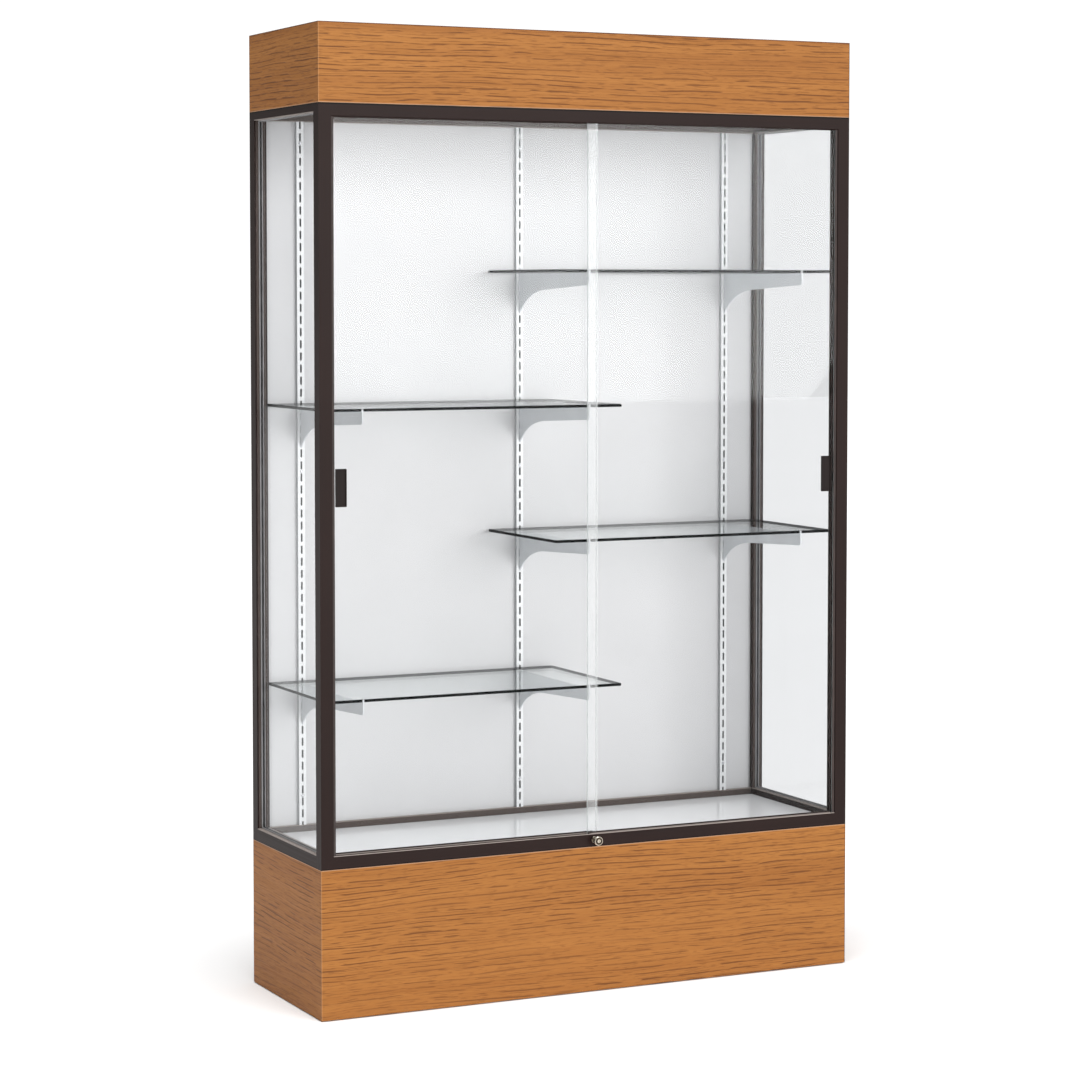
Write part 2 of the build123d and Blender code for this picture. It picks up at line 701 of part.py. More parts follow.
def standard(x):
    """A slotted channel that the shelf brackets hook into."""
    with BuildPart() as channel:
        with BuildSketch(Plane.XY.offset(STANDARD_Z0)):
            depth = BACK_FACE_Y - INSIDE_Y
            with Locations((x, INSIDE_Y + depth / 2)):
                Rectangle(STANDARD_W, depth)
            with Locations((x, INSIDE_Y + STANDARD_T + (depth - STANDARD_T) / 2)):
                Rectangle(STANDARD_W - 2 * STANDARD_T, depth - STANDARD_T, mode=Mode.SUBTRACT)
        extrude(amount=STANDARD_L)
        with BuildSketch(Plane.XZ.offset(-INSIDE_Y)):
            with Locations(*[(x, z) for z in SLOT_ZS]):
                SlotOverall(SLOT_L, SLOT_W, rotation=90)
            with Locations(*[(x, web_z(n)) for n in SCREW_WEBS]):
                Circle(WEB_HOLE_R)
        extrude(amount=-STANDARD_T, mode=Mode.SUBTRACT)
    return channel.part


STANDARD_XS = (-STANDARD_X, 0.0, STANDARD_X)
save(Compound(children=[standard(x) for x in STANDARD_XS]), "shelf_standards")

with BuildPart() as standard_screws:
    for x in STANDARD_XS:
        for n in SCREW_WEBS:
            with BuildSketch(Plane(origin=(x, INSIDE_Y, web_z(n)), x_dir=(1, 0, 0), z_dir=(0, 0, 1))):
                Polygon(
                    (0, -WEB_SCREW_HEAD_T),
                    (WEB_SCREW_HEAD_R - 0.8, -WEB_SCREW_HEAD_T),
                    (WEB_SCREW_HEAD_R, -WEB_SCREW_HEAD_T / 3),
                    (WEB_SCREW_HEAD_R, 0),
                    (WEB_SCREW_R, 0),
                    (WEB_SCREW_R, BACK_FACE_Y - INSIDE_Y + WEB_SCREW_BITE),
                    (0, BACK_FACE_Y - INSIDE_Y + WEB_SCREW_BITE),
                    align=None,
                )
            revolve(axis=Axis((x, INSIDE_Y, web_z(n)), (0, 1, 0)))
save(standard_screws.part, "standard_screws")

SCREW_SPOTS = [(x, web_z(n)) for x in STANDARD_XS for n in SCREW_WEBS]
with BuildPart() as back_panel:
    with Locations((0, POST_Y, GLASS_MID_Z)):
        Box(2 * (INSIDE_X + BACK_BITE), BACK_T, FRAME_H - TUBE - TOP_TUBE + 2 * BACK_BITE)
    with BuildSketch(Plane.XZ.offset(-BACK_FACE_Y)):
        with Locations(*SCREW_SPOTS):
            Circle(WEB_SCREW_R)
    extrude(amount=-WEB_SCREW_BITE, mode=Mode.SUBTRACT)
save(back_panel.part, "back_panel")


# ================================================================ shelves
def slot_z(n):
    """The height of the middle of slot n, counted from the first whole slot."""
    return STANDARD_Z0 + FIRST_SLOT + SLOT_PITCH * n


def shelf_pane(sx, slot):
    """One glass shelf on side sx, carried by the brackets that hook into the given slot."""
    underside = slot_z(slot) + BRACKET_DROP + CUSHION_T
    with BuildPart() as pane:
        with Locations(
            (
                sx * (SHELF_END_X - SHELF_W / 2),
                SHELF_FRONT_Y + SHELF_D / 2,
                underside + SHELF_T / 2,
            )
        ):
            Box(SHELF_W, SHELF_D, SHELF_T)
        chamfer(pane.edges(), SHELF_EDGE)
    return pane.part


def shelf_bracket(x, slot):
    """A tapered blade with two hooks behind the standard's face and a lip in front of the glass."""
    top_z = slot_z(slot) + BRACKET_DROP
    root_y = INSIDE_Y - HOOK_WALL_GAP
    behind_y = INSIDE_Y + STANDARD_T + HOOK_WALL_GAP
    tail_y = INSIDE_Y + HOOK_REACH
    knee_y = root_y - BRACKET_KNEE
    lip_y = BRACKET_NOSE_Y + BRACKET_LIP_T
    with BuildPart() as blade:
        with BuildSketch(Plane(origin=(x - BRACKET_T / 2, 0, 0), x_dir=(0, 1, 0), z_dir=(1, 0, 0))):
            with BuildLine():
                Polyline(
                    (root_y, top_z - BRACKET_ROOT_H),
                    (root_y, top_z),
                    (lip_y, top_z),
                    (lip_y, top_z + BRACKET_LIP_H),
                    (BRACKET_NOSE_Y, top_z + BRACKET_LIP_H),
                    (BRACKET_NOSE_Y, top_z - BRACKET_NOSE_H),
                    (knee_y, top_z - BRACKET_KNEE_H),
                )
                Bezier(
                    (knee_y, top_z - BRACKET_KNEE_H),
                    (root_y - BRACKET_KNEE / 3, top_z - BRACKET_KNEE_H - 8.0),
                    (root_y, top_z - BRACKET_ROOT_H),
                )
            make_face()
            for n in (slot, slot - 2):
                lug_low = slot_z(n) - SLOT_L / 2 + HOOK_SEAT
                with BuildLine():
                    Polyline(
                        (root_y, lug_low),
                        (behind_y, lug_low),
                        (behind_y, lug_low - HOOK_DROP),
                        (tail_y, lug_low - HOOK_DROP),
                        (tail_y, slot_z(n) + HOOK_RISE),
                        (root_y, slot_z(n) + HOOK_RISE),
                        close=True,
                    )
                make_face()
        extrude(amount=BRACKET_T)
        nose_edge = blade.edges().filter_by(Axis.X).sort_by(Axis.Y)
        low_nose = nose_edge[0:2].sort_by(Axis.Z)[0]
        fillet(low_nose, 8.0)
    return blade.part


SHELVES = {
    "left_lower_shelf": (-1, LEFT_LOWER_SLOT),
    "right_lower_shelf": (1, RIGHT_LOWER_SLOT),
    "left_upper_shelf": (-1, LEFT_UPPER_SLOT),
    "right_upper_shelf": (1, RIGHT_UPPER_SLOT),
}

bracket_parts = []
cushion_spots = []
for name, (sx, slot) in SHELVES.items():
    save(shelf_pane(sx, slot), f"{name}_glass")
    for x in (sx * STANDARD_X, 0.0):
        bracket_parts.append(shelf_bracket(x, slot))
        cushion_z = slot_z(slot) + BRACKET_DROP + CUSHION_T / 2
        for y in (SHELF_FRONT_Y + 2 * CUSHION_L, INSIDE_Y - 4 * CUSHION_L):
            cushion_spots.append((x, y, cushion_z))
save(Compound(children=bracket_parts), "shelf_brackets")

with BuildPart() as bracket_cushions:
    with Locations(*cushion_spots):
        Box(BRACKET_T, CUSHION_L, CUSHION_T)
save(bracket_cushions.part, "bracket_cushions")
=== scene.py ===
import math

import bmesh
import bpy
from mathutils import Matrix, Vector


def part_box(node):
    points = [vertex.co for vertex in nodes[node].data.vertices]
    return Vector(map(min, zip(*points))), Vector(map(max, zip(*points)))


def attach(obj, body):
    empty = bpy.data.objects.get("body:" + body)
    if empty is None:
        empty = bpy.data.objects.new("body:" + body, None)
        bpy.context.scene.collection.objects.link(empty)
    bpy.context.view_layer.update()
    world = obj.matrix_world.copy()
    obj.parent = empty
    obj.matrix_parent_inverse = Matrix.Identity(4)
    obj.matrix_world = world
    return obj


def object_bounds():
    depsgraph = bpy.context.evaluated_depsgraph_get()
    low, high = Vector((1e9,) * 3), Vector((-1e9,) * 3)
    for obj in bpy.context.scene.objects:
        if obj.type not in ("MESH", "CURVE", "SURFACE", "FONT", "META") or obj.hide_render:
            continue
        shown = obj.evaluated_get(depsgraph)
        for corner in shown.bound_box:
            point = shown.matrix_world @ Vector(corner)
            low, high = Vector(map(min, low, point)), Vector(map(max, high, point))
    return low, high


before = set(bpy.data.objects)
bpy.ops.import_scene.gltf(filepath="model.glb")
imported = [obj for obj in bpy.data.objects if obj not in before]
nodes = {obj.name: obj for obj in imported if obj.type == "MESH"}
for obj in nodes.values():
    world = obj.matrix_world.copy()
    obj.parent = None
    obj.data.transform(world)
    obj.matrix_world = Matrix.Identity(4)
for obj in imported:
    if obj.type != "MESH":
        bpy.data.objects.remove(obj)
cad_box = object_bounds()

# ---------------------------------------------------------------- limits of painted places, metres
# these are part.py's sizes, all but the first with up to half a millimetre to spare
STANDARD_HALF_W = 0.00795
STANDARD_SKIN = 0.0017
WELL_RADIUS = 0.00765
WELL_FLOOR = 0.0016
PLUG_RADIUS = 0.0037

# ---------------------------------------------------------------- places read from the frame
CASE_TOP = cad_box[1].z
BASE_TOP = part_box("base_front_panel")[1].z
HEADER_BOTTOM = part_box("header_front_panel")[0].z
HALF_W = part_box("base_front_panel")[1].x
FRONT_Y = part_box("base_front_panel")[0].y
BACK_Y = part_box("base_back_panel")[1].y
SILL_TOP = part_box("bottom_rail_back")[1].z
LINTEL_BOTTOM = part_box("top_rail_back")[0].z
BACK_RAIL_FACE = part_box("bottom_rail_back")[0].y
FRONT_RAIL_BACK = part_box("top_rail_front")[1].y
POST_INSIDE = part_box("post_back_right")[0].x
LOCK_LOW, LOCK_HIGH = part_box("lock_plunger")
LOCK_HEIGHT = (LOCK_LOW.z + LOCK_HIGH.z) / 2
STANDARD_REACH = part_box("shelf_standards")[1].x - STANDARD_HALF_W
STANDARD_XS = (-STANDARD_REACH, 0.0, STANDARD_REACH)
STANDARD_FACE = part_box("shelf_standards")[0].y
STANDARD_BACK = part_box("shelf_standards")[1].y

# ---------------------------------------------------------------- camera, in metres and radians
CAMERA_PLACE = Vector((-2.7945, -5.7055, 1.4569))
CAMERA_YAW = 0.4509
CAMERA_PITCH = -0.0540
CAMERA_LENS_MM = 99.90
CAMERA_SENSOR_MM = 36.0
CAMERA_SHIFT_Y = -0.08
CAMERA_REACH = 200.0

# ---------------------------------------------------------------- light, floor and clear surfaces
KEY_FROM = Vector((0.30, -1.0, 0.15))
KEY_STRENGTH = 2.2
KEY_ANGLE = math.radians(35)
TOP_FROM = Vector((-0.05, -0.14, 1.0))
TOP_STRENGTH = 3.2
TOP_ANGLE = math.radians(28)
WORLD_SEEN = 1.08
WORLD_LIGHT = 0.32
WHITE = (1.0, 1.0, 1.0, 1.0)
FLOOR_SIZE = 60.0
CLEAR_LAYERS = 32

# ---------------------------------------------------------------- lines of tone along edges, metres
# each has its whole tone up to the first distance from its edge, and none past the second
# painted highlight along the oak's cut edges beside the frame
WOOD_EDGE_HIGHLIGHT = (0.0010, 0.0020)
CORNER_LINE = (0.0006, 0.0020)
TOP_LINE = (0.0006, 0.0026)
# painted shadow lines on the metal beside the wood
BASE_SHADOW_LINE = (0.0014, 0.0026)
HEADER_SHADOW_LINE = (0.0024, 0.0038)
# painted highlight along the rail lips
RAIL_LIP_HIGHLIGHT = (0.0010, 0.0016)
# where the painted light on the posts' forward faces gives way to their dark edges
POST_EDGE = (0.0030, 0.0042)
# how far before or behind a plane a face still counts as lying in it
RAIL_TOLERANCE = 0.0005
STANDARD_TOLERANCE = 0.0004

# ---------------------------------------------------------------- numbers that materials use
# how far the oak's grain leaves its line, in metres over the whole range of its noise
GRAIN_WANDER = 0.036
GRAIN_RIPPLE = 0.0040
# the middle of a noise's range, and shares and limits without a unit
NOISE_LOW, NOISE_HIGH = 0.3, 0.7
METALLIC = 0.9
LOOKS_FORWARD = -0.5
LARGE_FACE = 0.9
MIRROR_HEAD_ON = 0.008
MIRROR_GRAZING = 0.50
MIRROR_POWER = 5.0


def srgb(red, green, blue):
    """A display colour, 0 to 255, as the linear colour that shaders take."""
    channels = []
    for value in (red, green, blue):
        part = value / 255
        channels.append(part / 12.92 if part <= 0.04045 else ((part + 0.055) / 1.055) ** 2.4)
    return (*channels, 1.0)


def toned(colour, share):
    """The same colour, lighter or darker."""
    return (*(share * part for part in colour[:3]), 1.0)


# ================================================================ shader building
class Shader:
    """One material's node tree, with short calls for the nodes that the materials share."""

    def __init__(self, name):
        self.material = bpy.data.materials.new(name)
        self.material.use_nodes = True
        self.tree = self.material.node_tree
        self.tree.nodes.clear()
        self.output = self.tree.nodes.new("ShaderNodeOutputMaterial")
        self.place = self.tree.nodes.new("ShaderNodeTexCoord")

    def put(self, socket, value):
        """Links the socket where the value is another node's output, and sets it otherwise."""
        if isinstance(value, bpy.types.NodeSocket):
            self.tree.links.new(value, socket)
        else:
            socket.default_value = value

    def new(self, kind, **inputs):
        """A node with inputs put in by name, or by number as i0, i1 and so on."""
        made = self.tree.nodes.new(kind)
        for key, value in inputs.items():
            numbered = key[0] == "i" and key[1:].isdigit()
            self.put(made.inputs[int(key[1:]) if numbered else key.replace("_", " ")], value)
        return made

    def calc(self, operation, first, second=0.0):
        """One sum on one or two values."""
        made = self.new("ShaderNodeMath", i0=first, i1=second)
        made.operation = operation
        return made.outputs[0]

    def apart(self, first, second):
        """How far apart two values are."""
        return self.calc("ABSOLUTE", self.calc("SUBTRACT", first, second))

    def stretched(self, scale, vector=None):
        """The object's own coordinates, scaled along each axis."""
        source = vector or self.place.outputs["Object"]
        return self.new("ShaderNodeMapping", Vector=source, Scale=scale).outputs[0]

    def noise(self, scale, vector=None, detail=2.0, rough=0.5):
        """Noise from 0 to 1 whose grain is 1/scale metres along each axis."""
        made = self.new(
            "ShaderNodeTexNoise",
            Vector=self.stretched(scale, vector),
            Scale=1.0,
            Detail=detail,
            Roughness=rough,
        )
        return made.outputs["Fac"]

    def drawn(self, across, along, along_scale):
        """Noise drawn out into fine lines along one axis."""
        scale = [across, across, across]
        scale["xyz".index(along)] = along_scale
        return self.noise(tuple(scale))

    def ramp(self, value, low, high, low_to=0.0, high_to=1.0):
        """The value, mapped from low..high to low_to..high_to and held there outside."""
        made = self.new(
            "ShaderNodeMapRange",
            Value=value,
            From_Min=low,
            From_Max=high,
            To_Min=low_to,
            To_Max=high_to,
        )
        return made.outputs[0]

    def spread(self, noise, low_to=0.0, high_to=1.0):
        """Noise, with the middle of its range stretched over low_to..high_to."""
        return self.ramp(noise, NOISE_LOW, NOISE_HIGH, low_to, high_to)

    def fade(self, distance, line, share):
        """The share of a line's tone at a distance from its edge."""
        return self.ramp(distance, *line, share, 0.0)

    def blend(self, share, first, second):
        """A colour between two others."""
        made = self.tree.nodes.new("ShaderNodeMix")
        made.data_type = "RGBA"
        for index, value in ((0, share), (6, first), (7, second)):
            self.put(made.inputs[index], value)
        return made.outputs[2]

    def pore_rows(self, grain, rows_per_metre, breaks_per_metre, gap):
        """Level rows of short dashes, evenly spaced, each row broken in its own places."""
        height = self.new("ShaderNodeSeparateXYZ", Vector=grain).outputs["Z"]
        jitter = self.noise((3.0, 3.0, rows_per_metre / 3), grain, detail=1.0)
        turns = self.calc("ADD", self.calc("MULTIPLY", height, rows_per_metre), jitter)
        wave = self.calc("SINE", self.calc("MULTIPLY", turns, 2 * math.pi))
        rows = self.ramp(wave, 0.62, 0.95)
        along = (breaks_per_metre, breaks_per_metre, 1.7 * rows_per_metre)
        breaks = self.ramp(self.noise(along, grain, detail=1.0), gap - 0.03, gap + 0.05)
        return self.calc("MULTIPLY", rows, breaks)

    def bump(self, height, distance, strength):
        """The surface direction over a height, whose depth is a distance in metres."""
        made = self.new("ShaderNodeBump", Height=height, Distance=distance, Strength=strength)
        return made.outputs[0]

    def surface(self, **inputs):
        """A Principled shader, joined to the output."""
        made = self.new("ShaderNodeBsdfPrincipled", **inputs)
        self.put(self.output.inputs[0], made.outputs[0])

    def mix(self, share, first, second):
        """A shader between two others."""
        return self.new("ShaderNodeMixShader", i0=share, i1=first, i2=second).outputs[0]

    def axis(self, letter):
        """The object's own x, y or z, in metres."""
        made = self.new("ShaderNodeSeparateXYZ", Vector=self.place.outputs["Object"])
        return made.outputs[letter.upper()]

    def facing(self, letter):
        """How squarely the face looks along x, y or z, from -1 to 1."""
        made = self.new("ShaderNodeSeparateXYZ", Vector=self.place.outputs["Normal"])
        return made.outputs[letter.upper()]


# ================================================================ materials
def oak_laminate():
    """Flat-cut oak with level grain: slow bands, fine fibres and rows of short dark pores."""
    s = Shader("oak_laminate")
    # the grain wanders up and down by a few millimetres along the board
    slow = s.calc("SUBTRACT", s.noise((1.5, 1.5, 5.0)), 0.5)
    quick = s.calc("SUBTRACT", s.noise((11.0, 11.0, 24.0), detail=1.0), 0.5)
    wander = s.calc("MULTIPLY", slow, GRAIN_WANDER)
    ripple = s.calc("MULTIPLY", quick, GRAIN_RIPPLE)
    shift = s.new("ShaderNodeCombineXYZ", Z=s.calc("ADD", wander, ripple))
    moved = s.new("ShaderNodeVectorMath", i0=s.place.outputs["Object"], i1=shift.outputs[0])
    grain = moved.outputs[0]

    bands = s.noise((0.5, 0.5, 34.0), grain, detail=3.0, rough=0.6)
    fibres = s.noise((6.0, 6.0, 560.0), grain, detail=3.0, rough=0.6)
    patches = s.ramp(s.noise((1.4, 1.4, 12.0), grain), 0.36, 0.60, 0.45, 1.0)
    wide = s.pore_rows(grain, rows_per_metre=88.0, breaks_per_metre=15.0, gap=0.47)
    close = s.pore_rows(grain, rows_per_metre=173.0, breaks_per_metre=24.0, gap=0.50)
    dashes = s.calc("MULTIPLY", s.calc("MAXIMUM", wide, s.calc("MULTIPLY", close, 0.60)), patches)
    specks = s.ramp(s.noise((45.0, 45.0, 480.0), grain, detail=0.0), 0.63, 0.72)

    colour = s.blend(s.ramp(bands, 0.30, 0.72), srgb(152, 96, 43), srgb(172, 114, 55))
    colour = s.blend(s.ramp(fibres, 0.35, 0.75, 0.0, 0.42), colour, srgb(132, 80, 34))
    colour = s.blend(s.calc("MULTIPLY", specks, 0.35), colour, srgb(112, 66, 28))
    colour = s.blend(s.calc("MULTIPLY", dashes, 0.88), colour, srgb(96, 54, 23))

    # a painted highlight runs pale along the cut edges beside the metal frame, and another makes
    # the front left corner paler than the faces beside it; the other corners and the top edge are
    # dark
    x, y, z = s.axis("x"), s.axis("y"), s.axis("z")
    to_base = s.apart(z, BASE_TOP)
    to_header = s.apart(z, HEADER_BOTTOM)
    near = s.calc("MINIMUM", to_base, to_header)
    colour = s.blend(s.fade(near, WOOD_EDGE_HIGHLIGHT, 0.4), colour, srgb(198, 170, 148))
    to_left, to_right = s.calc("ADD", x, HALF_W), s.calc("SUBTRACT", HALF_W, x)
    to_front, to_back = s.calc("SUBTRACT", y, FRONT_Y), s.calc("SUBTRACT", BACK_Y, y)
    dark_corner = srgb(72, 36, 20)
    corners = (
        (to_left, to_front, srgb(190, 140, 92), 0.45),
        (to_right, to_front, dark_corner, 0.8),
        (to_left, to_back, dark_corner, 0.8),
    )
    for first, second, line_colour, share in corners:
        reach = s.calc("MAXIMUM", first, second)
        colour = s.blend(s.fade(reach, CORNER_LINE, share), colour, line_colour)
    to_top = s.calc("SUBTRACT", CASE_TOP, z)
    colour = s.blend(s.fade(to_top, TOP_LINE, 0.85), colour, srgb(80, 38, 22))

    height = s.calc("SUBTRACT", s.calc("MULTIPLY", fibres, 0.3), dashes)
    s.surface(
        Base_Color=colour,
        Roughness=s.ramp(fibres, 0.2, 0.8, 0.42, 0.58),
        Specular_IOR_Level=0.15,
        Normal=s.bump(height, distance=0.00035, strength=0.6),
    )
    return s.material


def raw_board():
    """Bare particle board: pale brown chips pressed together."""
    s = Shader("raw_board")
    chips = s.new("ShaderNodeTexVoronoi", Vector=s.stretched((220.0, 150.0, 320.0)), Scale=1.0)
    dust = s.noise((900.0, 900.0, 900.0), detail=3.0)
    stain = s.noise((6.0, 6.0, 6.0), detail=3.0)
    depth = chips.outputs["Distance"]
    colour = s.blend(s.ramp(depth, 0.1, 0.8), srgb(196, 166, 124), srgb(158, 124, 84))
    colour = s.blend(s.ramp(dust, 0.45, 0.75, 0.0, 0.5), colour, srgb(112, 82, 52))
    colour = s.blend(s.ramp(stain, 0.4, 0.7, 0.0, 0.25), colour, srgb(140, 110, 78))
    s.surface(
        Base_Color=colour,
        Roughness=0.85,
        Normal=s.bump(depth, distance=0.0004, strength=0.7),
    )
    return s.material


def white_laminate(name, low, high, rough_low, rough_high, slot_shade_strips):
    """Hard white laminate: fine pressed texture, faint uneven tone, and grey painted shade behind
    the slots.
    """
    s = Shader(name)
    tone = s.noise((2.5, 2.5, 2.5), detail=3.0)
    skin = s.noise((700.0, 700.0, 700.0))
    scuffs = s.ramp(s.noise((9.0, 60.0, 60.0), detail=4.0, rough=0.7), 0.60, 0.80)
    colour = s.blend(s.spread(tone), low, high)
    colour = s.blend(s.calc("MULTIPLY", scuffs, 0.10), colour, toned(low, 0.85))
    # painted shade: the wall behind the standards' slots is greyed where their channels would shade
    # it
    depth = s.apart(s.axis("y"), STANDARD_BACK)
    behind_slots = s.calc("LESS_THAN", depth, STANDARD_TOLERANCE)
    for middle in slot_shade_strips:
        reach = s.apart(s.axis("x"), middle)
        hidden = s.calc("LESS_THAN", reach, STANDARD_HALF_W - STANDARD_SKIN)
        colour = s.blend(s.calc("MULTIPLY", hidden, behind_slots), colour, srgb(132, 133, 135))
    s.surface(
        Base_Color=colour,
        Roughness=s.spread(skin, rough_low, rough_high),
        Normal=s.bump(skin, distance=0.00006, strength=0.4),
    )
    return s.material


def bronze_aluminium(name, along, dark, light):
    """Dark bronze anodising over an extrusion, with drawn lines along its length."""
    s = Shader(name)
    lines = s.drawn(1400.0, along, 3.0)
    haze = s.noise((5.0, 5.0, 5.0), detail=3.0)
    colour = s.blend(s.spread(lines), dark, light)
    colour = s.blend(s.ramp(haze, 0.35, 0.7, 0.0, 0.35), colour, toned(light, 1.2))
    z = s.axis("z")

    # painted light makes the forward faces of the back rails and posts paler, and stops short of
    # the posts' edges, which stay dark
    behind = s.calc("GREATER_THAN", s.axis("y"), BACK_RAIL_FACE - RAIL_TOLERANCE)
    forward = s.calc("LESS_THAN", s.facing("y"), LOOKS_FORWARD)
    to_sill = s.calc("SUBTRACT", SILL_TOP, z)
    to_lintel = s.calc("SUBTRACT", z, LINTEL_BOTTOM)
    pale = s.calc("MULTIPLY", behind, forward)
    if along == "z":
        across = s.calc("ABSOLUTE", s.axis("x"))
        for edge in (POST_INSIDE, HALF_W):
            reach = s.apart(across, edge)
            pale = s.calc("MULTIPLY", pale, s.ramp(reach, *POST_EDGE))
    colour = s.blend(pale, colour, srgb(82, 72, 68))

    # a black line of painted shadow runs beside the wood, and a painted highlight runs along the
    # lip of each rail
    to_base = s.apart(z, BASE_TOP)
    to_header = s.apart(z, HEADER_BOTTOM)
    for distance, shadow_line in ((to_base, BASE_SHADOW_LINE), (to_header, HEADER_SHADOW_LINE)):
        colour = s.blend(s.fade(distance, shadow_line, 1.0), colour, srgb(6, 4, 4))
    if along != "z":
        past_front = s.calc("GREATER_THAN", s.axis("y"), FRONT_RAIL_BACK - RAIL_TOLERANCE)
        for reach, where in ((to_sill, 1.0), (to_lintel, past_front)):
            lip_highlight = s.fade(s.calc("ABSOLUTE", reach), RAIL_LIP_HIGHLIGHT, 0.9)
            colour = s.blend(s.calc("MULTIPLY", lip_highlight, where), colour, srgb(150, 140, 134))
    s.surface(
        Base_Color=colour,
        Metallic=0.0,
        Specular_IOR_Level=0.10,
        Roughness=s.spread(lines, 0.38, 0.52),
        Normal=s.bump(lines, distance=0.00005, strength=0.5),
    )
    return s.material


def brushed_metal(name, colour_low, colour_high, along, rough):
    """Bare or plated metal with fine lines along one axis and a few dull spots."""
    s = Shader(name)
    lines = s.drawn(1800.0, along, 12.0)
    spots = s.ramp(s.noise((130.0, 130.0, 130.0), detail=3.0), 0.55, 0.75)
    colour = s.blend(s.spread(lines), colour_low, colour_high)
    colour = s.blend(s.calc("MULTIPLY", spots, 0.30), colour, colour_low)
    s.surface(
        Base_Color=colour,
        Metallic=METALLIC,
        Roughness=s.spread(lines, rough, rough + 0.14),
        Normal=s.bump(lines, distance=0.00003, strength=0.5),
    )
    return s.material


def lock_head_nickel():
    """Plated lock head: a bright turned rim round a well that is painted dark as shade."""
    s = Shader("lock_head_nickel")
    x, y, z = s.axis("x"), s.axis("y"), s.axis("z")
    height = s.calc("SUBTRACT", z, LOCK_HEIGHT)
    squares = s.calc("ADD", s.calc("MULTIPLY", x, x), s.calc("MULTIPLY", height, height))
    radius = s.calc("SQRT", squares)
    lines = s.noise((1500.0, 1500.0, 1500.0))
    outward = s.new("ShaderNodeCombineXYZ", X=radius).outputs[0]
    turned = s.new("ShaderNodeTexNoise", Vector=outward, Scale=2600.0).outputs["Fac"]
    colour = s.blend(s.spread(turned), srgb(150, 142, 128), srgb(192, 185, 172))
    # painted shade darkens the well between the rim and the plug
    near_front = s.calc("LESS_THAN", y, LOCK_LOW.y + WELL_FLOOR)
    in_well = s.calc("MULTIPLY", s.calc("LESS_THAN", radius, WELL_RADIUS), near_front)
    dark = s.calc("MULTIPLY", in_well, s.calc("GREATER_THAN", radius, PLUG_RADIUS))
    colour = s.blend(dark, colour, srgb(62, 54, 46))
    s.surface(
        Base_Color=colour,
        Metallic=METALLIC,
        Roughness=s.spread(lines, 0.20, 0.34),
        Normal=s.bump(lines, distance=0.00003, strength=0.5),
    )
    return s.material


def overlap_highlight_film():
    """A pale see-through film for a painted highlight: it lets most light through and scatters the
    rest.
    """
    s = Shader("overlap_highlight_film")
    tone = s.noise((60.0, 60.0, 3.0), detail=3.0)
    skin = s.noise((900.0, 900.0, 60.0))
    s.surface(
        Base_Color=s.blend(s.spread(tone), srgb(232, 234, 234), srgb(242, 243, 243)),
        Roughness=s.spread(skin, 0.45, 0.60),
        Alpha=s.spread(tone, 0.12, 0.17),
        Normal=s.bump(skin, distance=0.00004, strength=0.5),
    )
    return s.material


def enamel(name, colour_low, colour_high, rough, shaded_beyond):
    """Sprayed enamel: faint orange peel, and grey painted shade on faces further back than a given
    depth.
    """
    s = Shader(name)
    tone = s.noise((18.0, 18.0, 18.0), detail=3.0)
    peel = s.noise((650.0, 650.0, 650.0), detail=1.0)
    colour = s.blend(s.spread(tone), colour_low, colour_high)
    # painted shade: faces further back than the given depth are grey
    colour = s.blend(s.calc("GREATER_THAN", s.axis("y"), shaded_beyond), colour, srgb(168, 170, 172))
    s.surface(
        Base_Color=colour,
        Roughness=s.spread(peel, rough, rough + 0.12),
        Normal=s.bump(peel, distance=0.00008, strength=0.5),
    )
    return s.material


def vinyl(name, colour_low, colour_high):
    """Moulded soft plastic: dull, with a slightly mottled tone and a pitted skin."""
    s = Shader(name)
    tone = s.noise((35.0, 35.0, 35.0), detail=3.0)
    pits = s.noise((1600.0, 1600.0, 1600.0))
    colour = s.blend(s.spread(tone), colour_low, colour_high)
    s.surface(
        Base_Color=colour,
        Roughness=s.spread(pits, 0.55, 0.72),
        Normal=s.bump(pits, distance=0.00005, strength=0.5),
    )
    return s.material


def clear_glass(name, faces, tint, right_tint, edge_colour, edge_alpha, edge_gloss):
    """Clear float glass. Its large faces look along one axis, and its cut edges have a colour."""
    s = Shader(name)
    facing = s.new("ShaderNodeLayerWeight", Blend=0.5).outputs["Facing"]
    grazing = s.calc("POWER", facing, MIRROR_POWER)
    mirror_share = s.calc("ADD", s.calc("MULTIPLY", grazing, MIRROR_GRAZING), MIRROR_HEAD_ON)
    wipes = s.noise((3.0, 3.0, 2.0), detail=4.0, rough=0.65)
    through = s.blend(wipes, tint, toned(tint, 1.008))
    # panes right of the middle can take a darker tint, painted shade over what is seen through them
    if right_tint:
        through = s.blend(s.calc("GREATER_THAN", s.axis("x"), 0.0), through, right_tint)
    see_through = s.new("ShaderNodeBsdfTransparent", Color=through)
    mirror = s.new(
        "ShaderNodeBsdfPrincipled",
        Base_Color=(0.95, 0.97, 0.97, 1.0),
        Metallic=1.0,
        Roughness=s.ramp(wipes, 0.35, 0.75, 0.0, 0.06),
    )
    pane = s.mix(mirror_share, see_through.outputs[0], mirror.outputs[0])

    ripple = s.noise((40.0, 40.0, 40.0))
    edge = s.new(
        "ShaderNodeBsdfPrincipled",
        Base_Color=s.blend(ripple, edge_colour, toned(edge_colour, 0.6)),
        Roughness=0.25,
        Specular_IOR_Level=edge_gloss,
        Alpha=edge_alpha,
    )
    is_edge = s.calc("LESS_THAN", s.calc("ABSOLUTE", s.facing(faces)), LARGE_FACE)
    s.put(s.output.inputs[0], s.mix(is_edge, pane, edge.outputs[0]))
    return s.material


